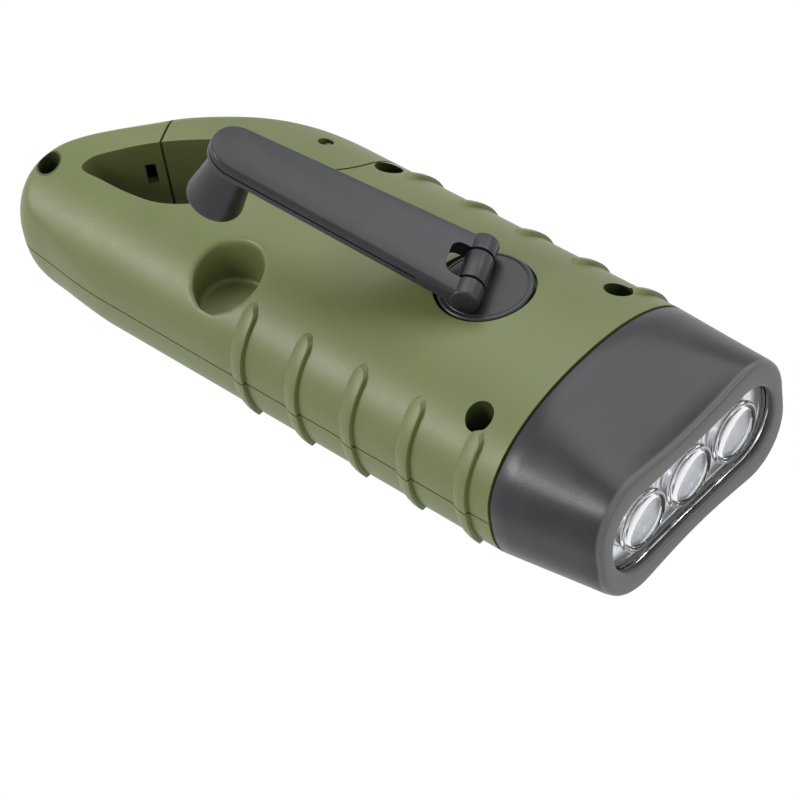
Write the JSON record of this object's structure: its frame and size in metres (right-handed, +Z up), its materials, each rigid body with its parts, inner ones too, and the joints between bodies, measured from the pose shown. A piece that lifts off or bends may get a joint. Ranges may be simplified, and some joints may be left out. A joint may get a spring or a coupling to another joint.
{
  "type": "solar hand crank flashlight",
  "caption": "Palm-sized dynamo torch: ribbed two-part case with a sprung carabiner loop, a lamp head with LEDs and a folding crank whose knob stows in a pocket.",
  "frame": {"origin": "middle of the underside: the centre of the bounding box's bottom", "axes": "+X runs from the tail loop to the lamp head, +Z is up, away from the solar panel"},
  "size_m": [0.1257, 0.0488, 0.054],
  "materials": {
    "case_green": "satin",
    "black_plastic": "satin",
    "clear_plastic": "clear",
    "reflector_chrome": "mirror",
    "led_resin": "clear resin",
    "steel": "satin",
    "white_nylon": "matte",
    "magnet": "matte",
    "copper": "enamelled",
    "circuit_board": "lacquered",
    "black_resin": "matte",
    "solar_cell": "dark cell",
    "lead_sleeve": "matte"
  },
  "bodies": {
    "case": {"upper_shell": "case_green", "lower_shell": "case_green", "head_bezel": "black_plastic", "lens": "clear_plastic", "reflector": "reflector_chrome", "led_left": "led_resin", "led_middle": "led_resin", "led_right": "led_resin", "led_board": "circuit_board", "gate_pin": "steel", "gate_spring": "steel", "gear_plate": "black_plastic", "gear_one_pin": "steel", "gear_two_pin": "steel", "dynamo_can": "steel", "dynamo_coil": "copper", "main_board": "circuit_board", "controller_chip": "black_resin", "storage_capacitor": "black_resin", "battery_pack": "steel", "switch_body": "black_resin", "solar_panel": "solar_cell", "solar_window": "clear_plastic", "solar_lead": "lead_sleeve", "dynamo_lead": "lead_sleeve", "lamp_lead": "lead_sleeve", "battery_lead": "lead_sleeve", "case_screw_tip": "steel", "case_screw_shoulder": "steel", "case_screw_head_far": "steel", "case_screw_head_near": "steel", "plate_screw_1": "steel", "plate_screw_2": "steel", "plate_screw_3": "steel"},
    "crank": {"crank_hub": "black_plastic", "hub_gear": "white_nylon", "hub_screw": "steel", "hinge_pin": "steel"},
    "arm": {"crank_arm": "black_plastic", "knob_rivet": "steel"},
    "knob": {"knob": "black_plastic"},
    "gate": {"gate": "case_green"},
    "button": {"switch_button": "black_plastic"},
    "gear_one": {"gear_one": "white_nylon"},
    "gear_two": {"gear_two": "white_nylon"},
    "rotor": {"rotor": "white_nylon", "rotor_magnet": "magnet"}
  },
  "joints": [
    {"name": "crank_spin", "type": "hinge", "parent": "case", "child": "crank", "pos_m": [0.02135, 0.00297, 0.0287], "axis": [0, 0, 1], "continuous": true},
    {"name": "crank_fold", "type": "hinge", "parent": "crank", "child": "arm", "pos_m": [0.02019, 0.00239, 0.0311], "axis": [-0.4462, 0.8949, 0], "range_deg": [-30, 150]},
    {"name": "knob_spin", "type": "hinge", "parent": "arm", "child": "knob", "pos_m": [-0.01035, -0.01284, 0.0508], "axis": [0.4475, 0.2231, 0.866], "continuous": true},
    {"name": "gate_swing", "type": "hinge", "parent": "case", "child": "gate", "pos_m": [-0.0235, 0.0154, 0.0145], "axis": [0, 0, 1], "range_deg": [0, 24], "stiffness_Nm_per_rad": 0.02, "springref_deg": -17.19},
    {"name": "switch_press", "type": "slide", "parent": "case", "child": "button", "axis": [0, 0, 1], "range_m": [0, 0.0008], "stiffness_N_per_m": 400, "springref_m": -0.001},
    {"name": "gear_one_spin", "type": "hinge", "parent": "case", "child": "gear_one", "pos_m": [0.00899, -0.00153, 0.02], "axis": [0, 0, 1], "continuous": true},
    {"name": "gear_two_spin", "type": "hinge", "parent": "case", "child": "gear_two", "pos_m": [-0.00153, 0.00455, 0.017], "axis": [0, 0, 1], "continuous": true},
    {"name": "rotor_spin", "type": "hinge", "parent": "case", "child": "rotor", "pos_m": [-0.00517, -0.00546, 0.01], "axis": [0, 0, 1], "continuous": true}
  ],
  "couplings": [
    {"joint": "gear_one_spin", "follows": "crank_spin", "ratio": -3.3333},
    {"joint": "gear_two_spin", "follows": "crank_spin", "ratio": 10},
    {"joint": "rotor_spin", "follows": "crank_spin", "ratio": -32}
  ]
}
